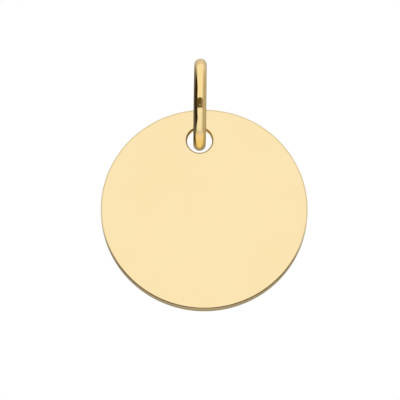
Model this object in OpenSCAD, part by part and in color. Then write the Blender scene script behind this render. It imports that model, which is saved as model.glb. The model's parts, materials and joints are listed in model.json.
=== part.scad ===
// A round engravable pendant: a flat polished gold disc with one drilled hole, hanging on a
// soldered jump ring of round wire. Both hang still: the ring stands edge-on to the viewer, in
// the plane x = 0, and the disc hangs upright in the plane y = 0, with its front towards -Y.
// The origin is the point inside the top of the ring where a chain bears, straight above the
// middle of the hole.

/* [Disc] */
// Diameter of the disc
disc_d = 16; // [12:0.5:24]
// Thickness of the disc
disc_t = 0.8; // [0.5:0.05:1]
// Size of the broken edge round the rim, at 45 degrees
rim_break = 0.11; // [0.02:0.01:0.15]

/* [Hole] */
// Diameter of the drilled hole
hole_d = 1.95; // [1.8:0.05:2.4]
// Distance from the rim to the middle of the hole
hole_inset = 2.475; // [2.2:0.025:2.8]
// Size of the broken edge at the front of the hole, at 45 degrees
hole_break = 0.12; // [0.02:0.01:0.15]
// Size of the wider countersink at the back of the hole, at 45 degrees
hole_sink = 0.35; // [0.1:0.01:0.5]

/* [Jump ring] */
// Diameter of the round wire
wire_d = 1; // [0.8:0.05:1.2]
// Inner diameter of the ring
ring_inner_d = 5.2; // [5:0.1:8]

/* [Hanging] */
// Distance from the middle of the disc's thickness back to the ring's centre
ring_set_back = 0.8; // [0:0.01:0.9]
// Gap left between the wire and the hole's upper wall that hangs on it
hang_gap = 0.09; // [0.05:0.01:0.2]
// Turn of the disc about its hole, in degrees, which carries its lower edge towards +X
disc_turn = 4.4; // [-10:0.1:10]

/* [Hidden] */
$fn = 180;
gold = [0.98, 0.90, 0.70];
disc_r = disc_d / 2;
half_t = disc_t / 2;
hole_r = hole_d / 2;
wire_r = wire_d / 2;
ring_inner_r = ring_inner_d / 2;
ring_mean_r = ring_inner_r + wire_r;
// How far a cutter runs past the face that it opens
overshoot = 0.5;
// The wire hangs closest to the front end of the hole's wall, this far in front of the ring's centre
bearing_reach = ring_set_back + half_t - hole_break;
// Height of the ring's centre over the middle of the hole
ring_over_hole = hole_r + sqrt(pow(ring_inner_r, 2) - pow(bearing_reach, 2)) - hang_gap;
// Height of the origin over the ring's centre, on the inner side of the wire
origin_over_ring = sqrt(pow(ring_inner_r, 2) - pow(ring_set_back, 2));
ring_z = -origin_over_ring;
hole_z = ring_z - ring_over_hole;

// One closed ring of round wire, soldered shut, in the plane x = 0
module jump_ring() {
    color(gold)
    translate([0, ring_set_back, ring_z])
    rotate([0, 90, 0])
    rotate_extrude()
    translate([ring_mean_r, 0])
    circle(r = wire_r);
}

// The flat blank, with both corners of its rim broken, about the Z axis
module blank() {
    rotate_extrude()
    polygon([
        [0, -half_t],
        [disc_r - rim_break, -half_t],
        [disc_r, rim_break - half_t],
        [disc_r, half_t - rim_break],
        [disc_r - rim_break, half_t],
        [0, half_t]
    ]);
}

// What the drill and the two countersinks take away, about the Z axis, with the front upwards
module hole_cutter() {
    rotate_extrude()
    polygon([
        [0, -half_t - overshoot],
        [hole_r + hole_sink + overshoot, -half_t - overshoot],
        [hole_r, hole_sink - half_t],
        [hole_r, half_t - hole_break],
        [hole_r + hole_break + overshoot, half_t + overshoot],
        [0, half_t + overshoot]
    ]);
}

// The drilled disc, turned about the middle of its hole
module disc() {
    color(gold)
    translate([0, 0, hole_z])
    rotate([0, -disc_turn, 0])
    rotate([90, 0, 0])
    difference() {
        translate([0, hole_inset - disc_r, 0]) blank();
        hole_cutter();
    }
}

jump_ring();
disc();
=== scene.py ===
# %% [markdown]
# # A polished gold disc on a jump ring
#
# The object is small and plain: a flat round disc of yellow gold, polished like a mirror and
# left bare for engraving, with one drilled hole near its rim, and a soldered ring of round wire
# through the hole. With so few pieces, nearly all of the look is in three things: how exactly
# round the forms are, how softly their edges are broken, and what the polish has to reflect.
# So the script makes the two pieces from their rules, gives them one gold with two finishes,
# and then builds a small studio round them.

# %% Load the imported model
import json
from math import cos, degrees, radians, sin

import bmesh
import bpy
from mathutils import Matrix, Vector


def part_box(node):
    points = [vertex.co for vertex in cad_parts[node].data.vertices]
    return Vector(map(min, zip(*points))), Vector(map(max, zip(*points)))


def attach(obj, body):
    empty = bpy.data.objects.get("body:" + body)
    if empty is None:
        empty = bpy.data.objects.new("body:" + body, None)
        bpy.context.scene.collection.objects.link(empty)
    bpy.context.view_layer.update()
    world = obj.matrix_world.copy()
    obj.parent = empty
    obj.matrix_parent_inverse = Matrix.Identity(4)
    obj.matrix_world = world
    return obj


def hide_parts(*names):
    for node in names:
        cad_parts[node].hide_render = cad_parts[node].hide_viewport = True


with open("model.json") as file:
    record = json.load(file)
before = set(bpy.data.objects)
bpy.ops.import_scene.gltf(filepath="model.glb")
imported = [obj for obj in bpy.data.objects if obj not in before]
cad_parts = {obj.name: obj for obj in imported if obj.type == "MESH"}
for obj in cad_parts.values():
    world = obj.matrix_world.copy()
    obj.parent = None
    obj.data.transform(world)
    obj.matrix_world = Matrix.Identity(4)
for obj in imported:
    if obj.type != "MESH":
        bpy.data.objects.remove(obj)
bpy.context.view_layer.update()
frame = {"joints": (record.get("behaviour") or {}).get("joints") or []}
scene = bpy.context.scene
MM = 0.001

# %% [markdown]
# ## Sizes
#
# Every place comes from the frame, so the pieces drawn here can't drift from the solids that
# move. The ring stands edge on, so its box is as wide as its wire and as deep as the ring. The
# disc's box gives its thickness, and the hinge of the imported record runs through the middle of
# the hole. The disc hangs a few degrees off plumb, so that its own middle lies a little to the
# side. What a box can't tell is named here: the disc's turn, the hole's sizes and the broken
# edges. The disc's radius is named too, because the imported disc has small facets, and its box is
# a few thousandths of a millimetre short.

# %% Read the sizes
ring_low, ring_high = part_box("jump_ring")
disc_low, disc_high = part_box("disc")
WIRE_R = (ring_high.x - ring_low.x) / 2
RING_R = (ring_high.y - ring_low.y) / 2 - WIRE_R
RING_CENTRE = (ring_low + ring_high) / 2
DISC_R = 8 * MM
DISC_T = disc_high.y - disc_low.y
DISC_TURN = 4.4
RIM_BREAK = 0.11 * MM
HOLE_CENTRE = Vector(frame["joints"][0]["pos_m"])
HOLE_R = 0.975 * MM
HOLE_INSET = 2.475 * MM
HOLE_BREAK = 0.12 * MM
HOLE_REAR_BREAK = 0.35 * MM
down_disc = Vector((sin(radians(DISC_TURN)), 0, -cos(radians(DISC_TURN))))
DISC_CENTRE = HOLE_CENTRE + down_disc * (DISC_R - HOLE_INSET)
print("wire", round(2 * WIRE_R / MM, 2), "mm, ring", round(2 * RING_R / MM, 2), "mm on the wire's middle")
print("disc", round(2 * DISC_R / MM, 2), "by", round(DISC_T / MM, 2), "mm, its box is",
      round((disc_high.x - disc_low.x) / MM, 3), "mm wide")

# %% [markdown]
# ## Camera
#
# A round face that is seen as an ellipse tells how far off square it is seen. Here its height and
# the strip of rim below it fit 15.6 degrees, and the rim shows at the lower edge, so the camera
# looks up at it. A short lens close by would swell the ring, so a long lens far away keeps it as
# slim as a product picture shows it. The camera aims at the point of the disc's front face that
# falls in the middle of the picture, and a turn of less than a degree about its own axis lets the
# ring lean as it does there.

# %% Helper for new objects
def placed(name, data):
    """A new object in the scene that shows this mesh or camera."""
    thing = bpy.data.objects.new(name, data)
    scene.collection.objects.link(thing)
    return thing


# %% Place the camera
PICTURE = 400
FACE_PIXEL = (204.3, 208.7)
DISC_PIXELS = 206.8
CAMERA_UP = -15.6
CAMERA_ROLL = 0.7
CAMERA_AWAY = 350 * MM
SENSOR = 36.0
NEAREST, FARTHEST = 10 * MM, 50
pixel = 2 * DISC_R / DISC_PIXELS
back = Vector((0, -cos(radians(CAMERA_UP)), sin(radians(CAMERA_UP))))
face_centre = Vector((DISC_CENTRE.x, disc_low.y, DISC_CENTRE.z))
right_pixels, up_pixels = PICTURE / 2 - FACE_PIXEL[0], FACE_PIXEL[1] - PICTURE / 2
aim = face_centre + Vector((right_pixels, 0, up_pixels / cos(radians(CAMERA_UP)))) * pixel

camera_data = bpy.data.cameras.new("camera")
camera_data.sensor_width = SENSOR
camera_data.lens = SENSOR * CAMERA_AWAY / (PICTURE * pixel)
camera_data.clip_start, camera_data.clip_end = NEAREST, FARTHEST
camera = placed("camera", camera_data)
turn = back.to_track_quat("Z", "Y").to_matrix() @ Matrix.Rotation(radians(CAMERA_ROLL), 3, "Z")
camera.matrix_world = Matrix.Translation(aim + back * CAMERA_AWAY) @ turn.to_4x4()
scene.camera = camera
print("lens", round(camera_data.lens), "mm, camera at",
      [round(v / MM) for v in camera.matrix_world.translation], "mm")

# %% [markdown]
# ## Writing node trees as sums
#
# A node tree that is drawn by hand is easy to see and hard to write down. `Field` wraps one
# output socket, and its operators add the Math nodes, so a mask can be written as `1 - mask`.
# `Nodes` adds any other node: its settings are set first, because some of them change which
# sockets the node has, and then its sockets take numbers or other fields. The same two classes
# write the shaders and the Geometry Nodes, because both use the same Math nodes.

# %% Helper for sums
class Field:
    """One output socket of a node tree, for use in sums."""

    def __init__(self, nodes, socket):
        self.nodes, self.socket = nodes, socket

    def __add__(self, other):
        return self.nodes.math("ADD", self, other)

    def __radd__(self, other):
        return self.nodes.math("ADD", other, self)

    def __sub__(self, other):
        return self.nodes.math("SUBTRACT", self, other)

    def __rsub__(self, other):
        return self.nodes.math("SUBTRACT", other, self)

    def __mul__(self, other):
        return self.nodes.math("MULTIPLY", self, other)

    def __rmul__(self, other):
        return self.nodes.math("MULTIPLY", other, self)

    def __neg__(self):
        return 0 - self

    def __abs__(self):
        return self.nodes.math("ABSOLUTE", self)

    def __gt__(self, other):
        return self.nodes.math("GREATER_THAN", self, other)

    def __lt__(self, other):
        return self.nodes.math("LESS_THAN", self, other)


# %% Helper for node trees
class Nodes:
    """A node tree that is written node by node."""

    def __init__(self, tree):
        self.tree = tree

    def socket(self, sockets, key):
        """The socket with this number or, among those in use, with this name."""
        return sockets[key] if isinstance(key, int) else next(
            socket for socket in sockets if socket.enabled and socket.name == key)

    def add(self, kind, settings=None, sockets=None, output=0):
        """Adds a node, sets it, fills its sockets, and returns one of its outputs."""
        node = self.tree.nodes.new(kind)
        for name, value in (settings or {}).items():
            setattr(node, name, value)
        for name, value in (sockets or {}).items():
            if isinstance(value, Field):
                self.tree.links.new(value.socket, self.socket(node.inputs, name))
            else:
                self.socket(node.inputs, name).default_value = value
        return Field(self, self.socket(node.outputs, output)) if len(node.outputs) else None

    def math(self, operation, first, second=0.0):
        """The result of one Math node."""
        return self.add("ShaderNodeMath", {"operation": operation}, {0: first, 1: second})

    def parts(self, vector, axes):
        """The parts of a vector along these axes."""
        return [self.add("ShaderNodeSeparateXYZ", None, {"Vector": vector}, axis) for axis in axes]

    def vector(self, x=0.0, y=0.0, z=0.0):
        """The vector with these parts."""
        return self.add("ShaderNodeCombineXYZ", None, {"X": x, "Y": y, "Z": z})

    def length(self, vector):
        """How long a vector is."""
        return self.add("ShaderNodeVectorMath", {"operation": "LENGTH"}, {0: vector}, "Value")

    def rise(self, value, low, high):
        """0 below low, 1 above high, and a soft step between."""
        sockets = {"Value": value, "From Min": low, "From Max": high}
        return self.add("ShaderNodeMapRange", {"interpolation_type": "SMOOTHSTEP"}, sockets)

    def fall(self, value, low, high):
        """1 below low, 0 above high, and a soft step between."""
        return 1 - self.rise(value, low, high)

    def blend(self, share, first, second):
        """A colour that goes from first to second as share goes from 0 to 1."""
        settings = {"data_type": "RGBA"}
        return self.add("ShaderNodeMix", settings, {"Factor": share, "A": first, "B": second}, "Result")


# %% [markdown]
# ## Geometry Nodes as a workshop
#
# Both pieces follow a rule, so each is a small tree whose named inputs are its sizes, in
# millimetres, so that a tree reads like a drawing. A mesh could be written point by point in
# Python too, but a tree can be opened and its sizes changed by hand. `open_tree` makes the tree
# and its inputs, `close_tree` ends it in real geometry with its material on, and `run_tree` feeds
# it the sizes by the sockets' identifiers, and turns the result into a plain mesh where the piece
# belongs. Only corners of more than 20 degrees stay crisp, so that a rounding shades as one.

# %% Helper that opens a tree
def open_tree(name, lengths, counts):
    """An empty tree with an input for each length and each count, and the inputs as fields."""
    tree = bpy.data.node_groups.new(name, "GeometryNodeTree")
    tree.interface.new_socket("Geometry", in_out="OUTPUT", socket_type="NodeSocketGeometry")
    for kind, labels in (("NodeSocketFloat", lengths), ("NodeSocketInt", counts)):
        for label in labels:
            tree.interface.new_socket(label, in_out="INPUT", socket_type=kind)
    nodes = Nodes(tree)
    entry = tree.nodes.new("NodeGroupInput")
    return nodes, {label: Field(nodes, entry.outputs[label]) for label in (*lengths, *counts)}


# %% Helper that closes a tree
CRISP_TURN = radians(20)


def close_tree(nodes, geometry, material):
    """Smooths all but sharp corners, makes the geometry real and puts its material on."""
    smooth = nodes.add("GeometryNodeSetShadeSmooth", None, {"Geometry": geometry})
    crisp = nodes.add("GeometryNodeSetShadeSmooth", {"domain": "EDGE"}, {
        "Geometry": smooth,
        "Selection": nodes.add("GeometryNodeInputMeshEdgeAngle") > CRISP_TURN,
        "Shade Smooth": False,
    })
    real = nodes.add("GeometryNodeRealizeInstances", None, {"Geometry": crisp})
    dressed = nodes.add("GeometryNodeSetMaterial", None, {"Geometry": real, "Material": material})
    end = nodes.tree.nodes.new("NodeGroupOutput")
    nodes.tree.links.new(dressed.socket, end.inputs["Geometry"])


# %% Helper that runs a tree
def run_tree(name, nodes, values, place):
    """Runs a tree once with these values, and returns its mesh as an object at the origin."""
    start = placed(name + "_start", bpy.data.meshes.new(name + "_start"))
    modifier = start.modifiers.new("shape", "NODES")
    modifier.node_group = nodes.tree
    for socket in nodes.tree.interface.items_tree:
        if socket.in_out == "INPUT":
            modifier[socket.identifier] = values[socket.name]
    evaluated = start.evaluated_get(bpy.context.evaluated_depsgraph_get())
    mesh = bpy.data.meshes.new_from_object(evaluated)
    start.modifiers.remove(modifier)
    bpy.data.objects.remove(start)
    mesh.transform(place @ Matrix.Scale(MM, 4))
    print(name, "has", len(mesh.polygons), "faces")
    return placed(name, mesh)


# %% [markdown]
# ## The gold
#
# Fourteen carat yellow gold is paler than pure gold. A metal has no colour of its own under the
# polish: its base colour is the tint of what it mirrors. Polishing on a soft wheel leaves three
# faint traces, and each is a layer here: a haze that comes and goes over a few millimetres, fine
# hairlines left by the last cloth, and a surface that is never quite flat. They are kept so
# small that the disc still reads as a mirror, but they stop it from looking computed. A picture
# of gold could be wrapped round the pieces instead, but it would bring its own studio along.
# Noise that reads the object's own coordinates brings none, and it has no seams. Those
# coordinates are in metres, so a scale says how many patches, hairs or waves go to a metre.

# %% Helper for polished gold
HAZE_SCALE = 180
HAZE_RANGE = 0.35, 0.7
HAIR_ANGLES = 0.5, -0.9
HAIR_STRETCH = 0.02
HAIR_RANGE = 0.6, 0.72
HAIR_DEPTH = 2e-8


def own_nodes(owner):
    """The emptied node tree of a new material or world."""
    owner.use_nodes = True
    owner.node_tree.nodes.clear()
    return Nodes(owner.node_tree)


def gold(name, tints, polish, haze, hair_scale, wave_scale, wave_depth, edge_paint=None):
    """A polished gold. Tints are its colour and that of its hazy patches, polish is its base
    roughness, haze is how much more the patches have, and the last argument, where given, adds the
    painted shade of the broken edges and the painted highlight of the walls."""
    material = bpy.data.materials.new(name)
    nodes = own_nodes(material)
    place = nodes.add("ShaderNodeTexCoord", output="Object")

    def noise(vector, scale, detail, roughness):
        sockets = {"Vector": vector, "Scale": scale, "Detail": detail, "Roughness": roughness}
        return nodes.add("ShaderNodeTexNoise", None, sockets, "Fac")

    def hairlines(angle):
        turned = nodes.add("ShaderNodeMapping", None, {
            "Vector": place, "Rotation": (0, angle, 0), "Scale": (1, 1, HAIR_STRETCH)})
        return nodes.rise(noise(turned, hair_scale, detail=2.0, roughness=0.6), *HAIR_RANGE)

    patches = nodes.rise(noise(place, HAZE_SCALE, detail=3.0, roughness=0.5), *HAZE_RANGE)
    hairs = hairlines(HAIR_ANGLES[0]) + hairlines(HAIR_ANGLES[1])
    waves = noise(place, wave_scale, detail=1.0, roughness=0.5)
    tint = nodes.blend(patches, *tints)
    roughness = polish + patches * haze
    if edge_paint:
        tint, matt = edge_paint(nodes, place, tint)
        roughness = roughness + matt
    relief = waves * wave_depth - hairs * HAIR_DEPTH
    bump = nodes.add("ShaderNodeBump", None, {"Strength": 1.0, "Distance": 1.0, "Height": relief})
    surface = nodes.add("ShaderNodeBsdfPrincipled", None, {
        "Base Color": tint,
        "Metallic": 1.0,
        "Roughness": roughness,
        "Normal": bump,
    })
    nodes.add("ShaderNodeOutputMaterial", None, {"Surface": surface})
    print(name, "is written in", len(nodes.tree.nodes), "nodes")
    return material


# %% [markdown]
# ## Painted edges
#
# The front edge of the hole and the two edges of the rim are broken a tenth of a millimetre wide.
# They are painted brown, a painted shade that draws a dark line along them, and they are rougher
# than the polish. The wall of the drilled hole and the wall of the rim are painted a paler gold than
# the rolled sheet, a painted highlight that lightens them. Such faces could have materials of their
# own, but then each would begin at a hard line. Here masks are worked out from how far a point lies
# from the hole's axis and from the disc's own, so they fade softly into the polish, and they follow
# the sizes by themselves.

# %% Helper for the raw edges
# The brown on the broken edges is a painted shade.
EDGE_SHADE_GOLD = (0.53, 0.42, 0.24, 1)
# The paler gold on the walls of the hole and the rim is a painted highlight.
WALL_HIGHLIGHT_GOLD = (1.0, 0.93, 0.74, 1)
EDGE_ROUGHNESS, DRILLED_ROUGHNESS = 0.25, 0.2
RIM_SHADE_AND_DULL, RIM_WALL_HIGHLIGHT = 0.46, 0.35
HOLE_MARGIN = -0.02 * MM, 0.01 * MM
HOLE_EDGE_DEPTH = HOLE_BREAK, 1.2 * HOLE_BREAK
RIM_MARGIN = -0.01 * MM, 0.02 * MM
RIM_EDGE_BAND = -0.045 * MM, -0.03 * MM
RIM_WALL_BAND = -0.02 * MM, -0.005 * MM


def painted_edges(nodes, place, tint):
    """The tint with the painted shade of the broken edges and the painted highlight of the paler
    walls, and how much rougher these places are than the polish."""
    x, y, z = nodes.parts(place, "XYZ")

    def from_axis(centre):
        return nodes.length(nodes.vector(x - centre.x, z - centre.z))

    near_hole = nodes.fall(from_axis(HOLE_CENTRE) - (HOLE_R + HOLE_BREAK), *HOLE_MARGIN)
    drilled = near_hole * nodes.rise(y + DISC_T / 2, *HOLE_EDGE_DEPTH)
    past_rim = from_axis(DISC_CENTRE) - DISC_R
    near_flat = nodes.rise(abs(y) - DISC_T / 2, *RIM_EDGE_BAND)
    rim_edge = nodes.rise(past_rim + RIM_BREAK, *RIM_MARGIN) * near_flat
    rim_wall = nodes.rise(past_rim, *RIM_WALL_BAND) * (1 - rim_edge)
    # The broken edges get a brown painted shade here, and the same mask makes them rougher.
    shade_and_dull = near_hole - drilled + rim_edge * RIM_SHADE_AND_DULL
    # The walls get the paler gold here, a painted highlight.
    tint = nodes.blend(drilled + rim_wall * RIM_WALL_HIGHLIGHT, tint, WALL_HIGHLIGHT_GOLD)
    tint = nodes.blend(shade_and_dull, tint, EDGE_SHADE_GOLD)
    return tint, shade_and_dull * EDGE_ROUGHNESS + drilled * DRILLED_ROUGHNESS


# %% [markdown]
# ## Two finishes of one gold
#
# Rolled sheet and drawn wire never match quite, even in one alloy. Here the wire is a little
# redder, and its small round form takes deeper waves from the polishing. Two materials could be
# built one by one, but one function makes both, so that they stay one gold and only the numbers
# differ. The wire has no corners, so it has no painted edges.

# %% Make the two golds
SHEET_TINTS = (0.970, 0.795, 0.487, 1), (0.972, 0.789, 0.472, 1)
WIRE_TINTS = (0.970, 0.750, 0.375, 1), (0.972, 0.742, 0.362, 1)
# The disc's gold carries the painted shade of its edges and the painted highlight of its walls.
disc_gold = gold("disc_gold", SHEET_TINTS, polish=0.05, haze=0.03,
                 hair_scale=9000, wave_scale=260, wave_depth=6e-7, edge_paint=painted_edges)
ring_gold = gold("ring_gold", WIRE_TINTS, polish=0.05, haze=0.04,
                 hair_scale=12000, wave_scale=900, wave_depth=2e-6)

# %% [markdown]
# ## The jump ring
#
# A jump ring is a length of drawn wire wound round a rod, cut, closed and soldered, so it is a
# circle swept along a circle. A torus primitive would do, but the sweep says how the real one is
# made, and its two counts set the smoothness along the wire and round it. The mirror finish
# shows every facet, so both are high.

# %% Sweep the jump ring
nodes, size = open_tree("jump_ring", ["Ring radius", "Wire radius"], ["Ring steps", "Wire steps"])
path = nodes.add("GeometryNodeCurvePrimitiveCircle", None, {
    "Resolution": size["Ring steps"], "Radius": size["Ring radius"]})
section = nodes.add("GeometryNodeCurvePrimitiveCircle", None, {
    "Resolution": size["Wire steps"], "Radius": size["Wire radius"]})
wire = nodes.add("GeometryNodeCurveToMesh", None, {"Curve": path, "Profile Curve": section})
close_tree(nodes, wire, ring_gold)
stand_up = Matrix.Translation(RING_CENTRE) @ Matrix.Rotation(radians(90), 4, "Y")
ring = run_tree("ring_wire", nodes, {
    "Ring radius": RING_R / MM,
    "Wire radius": WIRE_R / MM,
    "Ring steps": 256,
    "Wire steps": 64,
}, stand_up)
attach(ring, "ring")
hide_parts("jump_ring")

# %% [markdown]
# ## The disc
#
# The blank is punched from rolled sheet, drilled, and polished until its corners are only just
# broken. Cutting the hole with a boolean would leave long faces that smear the shading at the
# seams, so the disc is one skin made of four parts that share their seams: two flats, filled
# between two circles, and two edges, the rim and the hole's wall, each swept round its circle.
# An edge's section is a thin rectangle with two corners rounded and its far side left open. It
# starts a little way in on the flat, because smooth shading leans the normals next to a corner,
# and that narrow band keeps the lean off the mirror face.
#
# A full rounding at the front of the rim would mirror the white of the tent as a bright line. The
# real edge shows a dark line, so its rounding is pressed down to a shallow bevel, which mirrors
# the dark gap round the camera instead. The hole's rear edge has the widest break.

# %% Helper for the section of an edge
RIM, HOLE = "Rim", "Hole"
OUTWARD = {RIM: 1, HOLE: -1}
SECTION_TURN = {RIM: radians(180), HOLE: 0.0}
EDGE_SIZES = ["radius", "front corner", "rear corner", "slope", "roundness"]


def edge_section(nodes, size, edge, width):
    """An edge's section, open towards the flats. Roundness is how much of its front corner's
    rounding is left, and slope is how steeply that corner falls away instead."""
    x, y = nodes.parts(nodes.add("GeometryNodeInputPosition"), "XY")
    front = y * OUTWARD[edge] > 0
    rear_corner, front_corner = size[edge + " rear corner"], size[edge + " front corner"]
    corner = rear_corner + (front_corner - rear_corner) * front
    section = nodes.add("GeometryNodeCurvePrimitiveQuadrilateral", None, {
        "Width": width, "Height": size["Thickness"]})
    section = nodes.add("GeometryNodeFilletCurve", {"mode": "POLY"}, {
        "Curve": section, "Count": size["Corner steps"], "Radius": corner * (x < 0)})
    half_t = size["Thickness"] * 0.5
    past_flat = nodes.math("MAXIMUM", corner - width * 0.5 - x, 0)
    left_round = 1 - front * (1 - size[edge + " roundness"])
    depth = (half_t - abs(y)) * left_round + past_flat * front * size[edge + " slope"]
    pressed = nodes.vector(x, nodes.math("SIGN", y) * (half_t - depth))
    section = nodes.add("GeometryNodeSetPosition", None, {"Geometry": section, "Position": pressed})
    section = nodes.add("GeometryNodeSetSplineCyclic", None, {"Geometry": section, "Cyclic": False})
    return nodes.add("GeometryNodeTransform", None, {
        "Geometry": section, "Rotation": (0, 0, SECTION_TURN[edge])})


# %% Helper for an edge
def swept_edge(nodes, size, edge):
    """The rim or the hole's wall, swept round its circle, and the circle where it meets the flats."""
    width = size[edge + " rear corner"] + size["Flat band"]

    def circle(inset):
        radius = size[edge + " radius"] - width * (OUTWARD[edge] * inset)
        return nodes.add("GeometryNodeCurvePrimitiveCircle", None, {
            "Resolution": size[edge + " steps"], "Radius": radius})

    section = edge_section(nodes, size, edge, width)
    swept = nodes.add("GeometryNodeCurveToMesh", None, {"Curve": circle(0.5), "Profile Curve": section})
    return swept, circle(1.0)


# %% Helpers that move and join
def shifted(nodes, geometry, x=0.0, z=0.0):
    """The geometry, moved by this much."""
    offset = nodes.vector(x=x, z=z)
    return nodes.add("GeometryNodeTransform", None, {"Geometry": geometry, "Translation": offset})


def joined(nodes, *parts):
    """All these parts as one geometry."""
    node = nodes.tree.nodes.new("GeometryNodeJoinGeometry")
    for part in parts:
        nodes.tree.links.new(part.socket, node.inputs[0])
    return Field(nodes, node.outputs[0])


# %% Sweep the two edges and fill the flats
MERGE = 0.001
edge_inputs = [f"{edge} {part}" for edge in (RIM, HOLE) for part in EDGE_SIZES]
nodes, size = open_tree("disc", ["Thickness", "Hole inset", "Flat band", *edge_inputs],
                        ["Rim steps", "Hole steps", "Corner steps"])
to_disc_centre = size["Hole inset"] - size["Rim radius"]
rim, rim_seam = (shifted(nodes, part, x=to_disc_centre) for part in swept_edge(nodes, size, RIM))
wall, wall_seam = swept_edge(nodes, size, HOLE)
flat = nodes.add("GeometryNodeFillCurve", {"mode": "TRIANGLES"}, {
    "Curve": joined(nodes, rim_seam, wall_seam)})
front = shifted(nodes, flat, z=size["Thickness"] * 0.5)
rear = nodes.add("GeometryNodeFlipFaces", None, {
    "Mesh": shifted(nodes, flat, z=size["Thickness"] * -0.5)})
skin = nodes.add("GeometryNodeMergeByDistance", None, {
    "Geometry": joined(nodes, front, rear, rim, wall), "Distance": MERGE})
close_tree(nodes, skin, disc_gold)
print("the disc's tree has", len(size), "inputs and", len(nodes.tree.nodes), "nodes")

# %% Make the disc
up_disc, out_front = -down_disc, Vector((0, -1, 0))
axes = Matrix((up_disc, out_front.cross(up_disc), out_front)).transposed()
disc = run_tree("disc_sheet", nodes, {
    "Thickness": DISC_T / MM,
    "Hole inset": HOLE_INSET / MM,
    "Flat band": 0.03,
    "Rim radius": DISC_R / MM,
    "Rim front corner": RIM_BREAK / MM,
    "Rim rear corner": RIM_BREAK / MM,
    "Rim slope": 0.15,
    "Rim roundness": 0.12,
    "Rim steps": 384,
    "Hole radius": HOLE_R / MM,
    "Hole front corner": HOLE_BREAK / MM,
    "Hole rear corner": HOLE_REAR_BREAK / MM,
    "Hole slope": 0.0,
    "Hole roundness": 1.0,
    "Hole steps": 128,
    "Corner steps": 8,
}, Matrix.Translation(HOLE_CENTRE) @ axes.to_4x4())
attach(disc, "disc")
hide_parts("disc")

# %% [markdown]
# ## One mirror that doesn't see the other
#
# Where the wire passes through the hole, two mirrors face each other a tenth of a millimetre
# apart, and the hole's edges show again in the wire as bright orange lines. A retoucher paints
# such lines out of a product picture, so that the wire keeps one clean highlight. Paint on one
# picture is no help to a piece that is seen from all sides, so here the disc is left out of what
# the gold mirrors. The wire then mirrors the studio alone, all the way down.

# %% Leave the disc out of the reflections
disc.visible_glossy = False
print("the gold mirrors the disc:", disc.visible_glossy)

# %% [markdown]
# ## The tent
#
# Polished metal is photographed in a white tent, and what looks like light and shade on it is
# really the tent and the cards in it. Lamps and white planes would do, but a mirror shows the
# edge of each. So the tent is the world itself, a colour for each direction. A warm softbox fills
# the front and the top, a cooler reflector lies below, and the right side goes grey, which rounds
# the wire. Each soft edge is a pair of limits. They are degrees round or up, or, where they lie
# between -1 and 1, parts of a direction that is one long.

# %% Helper for directions
def bearings(nodes, direction):
    """The direction's x, y and z, and how far it points round from the front and up, in degrees."""
    unit = nodes.add("ShaderNodeVectorMath", {"operation": "NORMALIZE"}, {0: direction}, "Vector")
    x, y, z = nodes.parts(unit, "XYZ")
    around = nodes.math("ARCTAN2", x, -y) * degrees(1)
    up = nodes.math("ARCSINE", z) * degrees(1)
    return x, y, z, around, up


# %% Hang the softbox, the reflector and the grey side
SOFTBOX = (1.0, 0.985, 0.93, 1)
REFLECTOR = (0.95, 0.98, 1.01, 1)
REFLECTOR_TOP = -0.45, -0.3
GREY_SIDE = (0.51, 0.485, 0.405, 1)
GREY_SLANT = 0.2
GREY_FRONT = 0.30, 0.88
GREY_BACK = 118, 140
world = bpy.data.worlds.new("tent")
scene.world = world
nodes = own_nodes(world)
x, y, z, around, up = bearings(nodes, nodes.add("ShaderNodeTexCoord", output="Generated"))
colour = nodes.blend(nodes.rise(z, *REFLECTOR_TOP), REFLECTOR, SOFTBOX)
grey_side = nodes.rise(x + y * GREY_SLANT, *GREY_FRONT) * nodes.fall(around, *GREY_BACK)
colour = nodes.blend(grey_side, colour, GREY_SIDE)
print("the tent's first cards are written in", len(nodes.tree.nodes), "nodes")

# %% [markdown]
# ## The black flag
#
# A bright wire on white paper loses its outline, so a photographer stands a strip of black card
# beside it, called a flag. This one stands on the left and draws the dark line down the wire. It
# could be a black plane near the object, but as one more zone of the world it has soft edges.
# Its front edge turns away where it goes up, so the line grows thin towards the top of the ring,
# and it steps back a little lower down. Its far end is grey with the light that leaks round it.
# The camera itself sees plain white in place of the tent.

# %% Stand the flag and close the tent
FLAG_BLACK = (0.032, 0.025, 0.014, 1)
FLAG_GREY = (0.16, 0.17, 0.20, 1)
FLAG_GREYS = 96, 122
FLAG_FRONT = -50, -42
FLAG_BACK = -138, -120
FLAG_BOTTOM = -50, -38
FLAG_TOP = 38, 62
FLAG_TURNS, FLAG_TURN = (22, 62), 38
FLAG_STEPS, FLAG_STEP = (-2, 12), 4
PAPER_WHITE = (1, 1, 1, 1)
flag_line = around + nodes.rise(up, *FLAG_TURNS) * FLAG_TURN + nodes.rise(-up, *FLAG_STEPS) * FLAG_STEP
flag = nodes.fall(flag_line, *FLAG_FRONT) * nodes.rise(around, *FLAG_BACK)
flag = flag * nodes.fall(up, *FLAG_TOP) * nodes.rise(up, *FLAG_BOTTOM)
flag_colour = nodes.blend(nodes.rise(-around, *FLAG_GREYS), FLAG_BLACK, FLAG_GREY)
colour = nodes.blend(flag, colour, flag_colour)
tent = nodes.add("ShaderNodeBackground", None, {"Color": colour, "Strength": 1.0})
plain = nodes.add("ShaderNodeBackground", None, {"Color": PAPER_WHITE, "Strength": 1.0})
camera_ray = nodes.add("ShaderNodeLightPath", output="Is Camera Ray")
seen = nodes.add("ShaderNodeMixShader", None, {0: camera_ray, 1: tent, 2: plain})
nodes.add("ShaderNodeOutputWorld", None, {"Surface": seen})
print("the flag is", FLAG_FRONT[0] - FLAG_BACK[1], "degrees wide and",
      FLAG_TOP[0] - FLAG_BOTTOM[1], "degrees high, without its soft edges")

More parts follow.
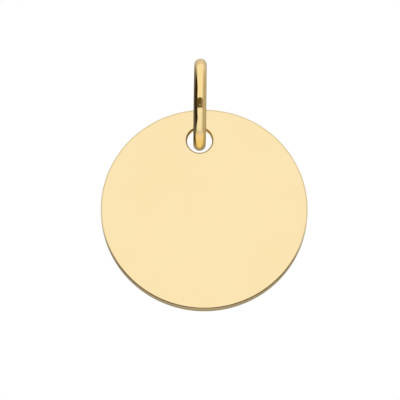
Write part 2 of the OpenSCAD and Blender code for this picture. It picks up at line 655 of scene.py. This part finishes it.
# %% [markdown]
# ## The gap round the camera
#
# The camera looks through a gap between the softbox and the reflector, and the gap is dark. The
# front of the wire mirrors it as a dark break. The gap goes where the camera goes, so it can't be
# part of the world. It is painted on a dome round the object that is tied to the camera, as on a
# photographer's rig, and the dome is clear wherever nothing is painted. The gap's lower edge
# rises to both sides, and towards the right it goes from nearly black to brown. An opening at
# the lens keeps a face that is seen square on from going dark.

# %% Paint the gap
GAP_DARK = (0.122, 0.095, 0.045, 1)
GAP_BROWN = (0.43, 0.37, 0.29, 1)
GAP_BROWNS = 5, 60
GAP_BOTTOM, GAP_LIFT = (-26, -22), 0.12
GAP_TOP = 1, 5
GAP_LEFT, GAP_RIGHT = (-64, -56), (56, 64)
LENS_BELOW = 0.4
LENS_OPENING = 3.1, 3.5
dome_material = bpy.data.materials.new("dome")
nodes = own_nodes(dome_material)
x, y, z, around, up = bearings(nodes, nodes.add("ShaderNodeTexCoord", output="Object"))
from_lens = nodes.length(nodes.vector(around, up - (CAMERA_UP - LENS_BELOW)))
gap = nodes.rise(up - abs(around) * GAP_LIFT, *GAP_BOTTOM) * nodes.fall(up, *GAP_TOP)
gap = gap * nodes.rise(around, *GAP_LEFT) * nodes.fall(around, *GAP_RIGHT)
gap = gap * nodes.rise(from_lens, *LENS_OPENING)
gap_colour = nodes.blend(nodes.rise(around, *GAP_BROWNS), GAP_DARK, GAP_BROWN)
print("the gap is", GAP_TOP[0] - GAP_BOTTOM[1], "degrees high, and its opening is",
      2 * LENS_OPENING[0], "degrees wide")

# %% [markdown]
# ## The cloth and the ground behind
#
# The rim and every edge of the object lean away from the camera, so they mirror what is behind
# the object. A grey cloth there parts them from the white. It could be a real sheet, but then it
# would have to follow the camera too, so it is painted on the same dome. It is dim straight
# behind, and goes grey and then pale further up. The lower right is olive and the far left is
# almost black: those are the corners that the tent's light doesn't reach. Under the object lies
# the ground, pale below. Further back it turns golden, a painted reflection of the gold disc,
# which the gold doesn't mirror, and that gives the lower end of the wire its orange glow.

# %% Paint the cloth
CLOTH_FRONT = 0.17, 0.57
CLOTH_DIM = (0.35, 0.305, 0.215, 1)
CLOTH_GREY = (0.54, 0.52, 0.48, 1)
CLOTH_GREYS = 2, 30
CLOTH_PALE = (0.84, 0.78, 0.62, 1)
CLOTH_PALES = 30, 62
OLIVE = (0.44, 0.38, 0.18, 1)
OLIVE_LEFT, OLIVE_TOP = (0.25, 0.5), (-12, 8)
DARK = (0.06, 0.04, 0.02, 1)
DARK_SLANT, DARK_RIGHT = 0.2, (0.50, 0.74)
cloth = nodes.blend(nodes.rise(up, *CLOTH_GREYS), CLOTH_DIM, CLOTH_GREY)
cloth = nodes.blend(nodes.rise(up, *CLOTH_PALES), cloth, CLOTH_PALE)
cloth = nodes.blend(nodes.rise(x, *OLIVE_LEFT) * nodes.rise(-up, *OLIVE_TOP), cloth, OLIVE)
cloth = nodes.blend(nodes.rise(y * DARK_SLANT - x, *DARK_RIGHT), cloth, DARK)
print("with the cloth, the dome's paint is written in", len(nodes.tree.nodes), "nodes")

# %% Paint the ground and the gold reflection
GROUND_PALE = (0.87, 0.81, 0.80, 1)
# The golden part of the ground is a painted reflection of the gold disc.
PAINTED_GOLD_REFLECTION = (0.93, 0.77, 0.36, 1)
GOLD_REFLECTION_SPAN = -0.1, 0.8
GROUND_TOP, GROUND_DIP = (0.20, 0.58), 0.12
REACH_DOWN, REACH, REACH_LESS = (0.3, 0.9), 0.4, 0.2
ground = nodes.blend(nodes.rise(y, *GOLD_REFLECTION_SPAN), GROUND_PALE, PAINTED_GOLD_REFLECTION)
ground_share = nodes.rise(-z - abs(x) * GROUND_DIP, *GROUND_TOP)
reach = nodes.rise(-z, *REACH_DOWN) * REACH - abs(x) * REACH_LESS
behind = nodes.rise(y + reach, *CLOTH_FRONT)
colour = nodes.blend(behind, gap_colour, nodes.blend(ground_share, cloth, ground))
glow = nodes.add("ShaderNodeEmission", None, {"Color": colour, "Strength": 1.0})
clear = nodes.add("ShaderNodeBsdfTransparent")
painted = nodes.add("ShaderNodeMixShader", None, {0: gap + behind, 1: clear, 2: glow})
nodes.add("ShaderNodeOutputMaterial", None, {"Surface": painted})
print("all of the dome's paint is written in", len(nodes.tree.nodes), "nodes")

# %% [markdown]
# ## The dome
#
# The dome is only there to be mirrored. Cards set round the lens could do its work, but each
# would have to be placed by trial, and the dome is placed once. It is a plain ball, because its
# paint depends only on the direction from its middle, so its facets don't show. The camera
# doesn't see it, it throws no shadow, and it is the camera's child, so it is in its place in
# every view.

# %% Hang the dome on the camera
DOME_R = 380 * MM
dome_shape = bmesh.new()
bmesh.ops.create_uvsphere(dome_shape, u_segments=64, v_segments=32, radius=DOME_R)
dome_mesh = bpy.data.meshes.new("dome")
dome_shape.to_mesh(dome_mesh)
dome_shape.free()
dome_mesh.materials.append(dome_material)
dome = placed("dome", dome_mesh)
dome.parent = camera
dome.matrix_parent_inverse = camera.matrix_world.inverted()
dome.matrix_world = Matrix.Translation(aim)
dome.visible_camera = dome.visible_diffuse = dome.visible_shadow = False
print("the dome is", round(2 * DOME_R / MM), "mm across")

# %% [markdown]
# ## The floor
#
# The object hangs, so its floor lies well below it and below the camera. It is pale and plain,
# and fades into the tent further out, so that no horizon shows from any side. A curved paper
# sweep would hide the horizon too, but only from the front. Reflections don't see the floor,
# because the gold mirrors the tent and the dome.

# %% Lay the floor
FLOOR_DOWN = 340 * MM
FLOOR_HALF = 6.0
FLOOR_PALE = (0.86, 0.86, 0.86, 1)
FLOOR_FADES = 0.2, 1.6
floor_material = bpy.data.materials.new("pale_floor")
nodes = own_nodes(floor_material)
out = nodes.length(nodes.add("ShaderNodeTexCoord", output="Object"))
matt = nodes.add("ShaderNodeBsdfDiffuse", None, {"Color": FLOOR_PALE})
glow = nodes.add("ShaderNodeEmission", None, {"Strength": 1.0})
mixed = nodes.add("ShaderNodeMixShader", None, {0: nodes.rise(out, *FLOOR_FADES), 1: matt, 2: glow})
nodes.add("ShaderNodeOutputMaterial", None, {"Surface": mixed})
floor_mesh = bpy.data.meshes.new("floor")
floor_mesh.from_pydata(
    [(x * FLOOR_HALF, y * FLOOR_HALF, -FLOOR_DOWN) for x, y in ((-1, -1), (1, -1), (1, 1), (-1, 1))],
    [], [(0, 1, 2, 3)])
floor_mesh.materials.append(floor_material)
floor = placed("floor", floor_mesh)
floor.visible_glossy = False
print("the floor lies", round(FLOOR_DOWN / MM), "mm below the origin")

# %% [markdown]
# ## Finish
#
# The picture is shown as it is lit, without a film curve, so that white stays white. The
# pieces drawn here have to fill the solids' own box.

# %% Finish
scene.view_settings.view_transform = "Standard"
scene.view_settings.look = "None"
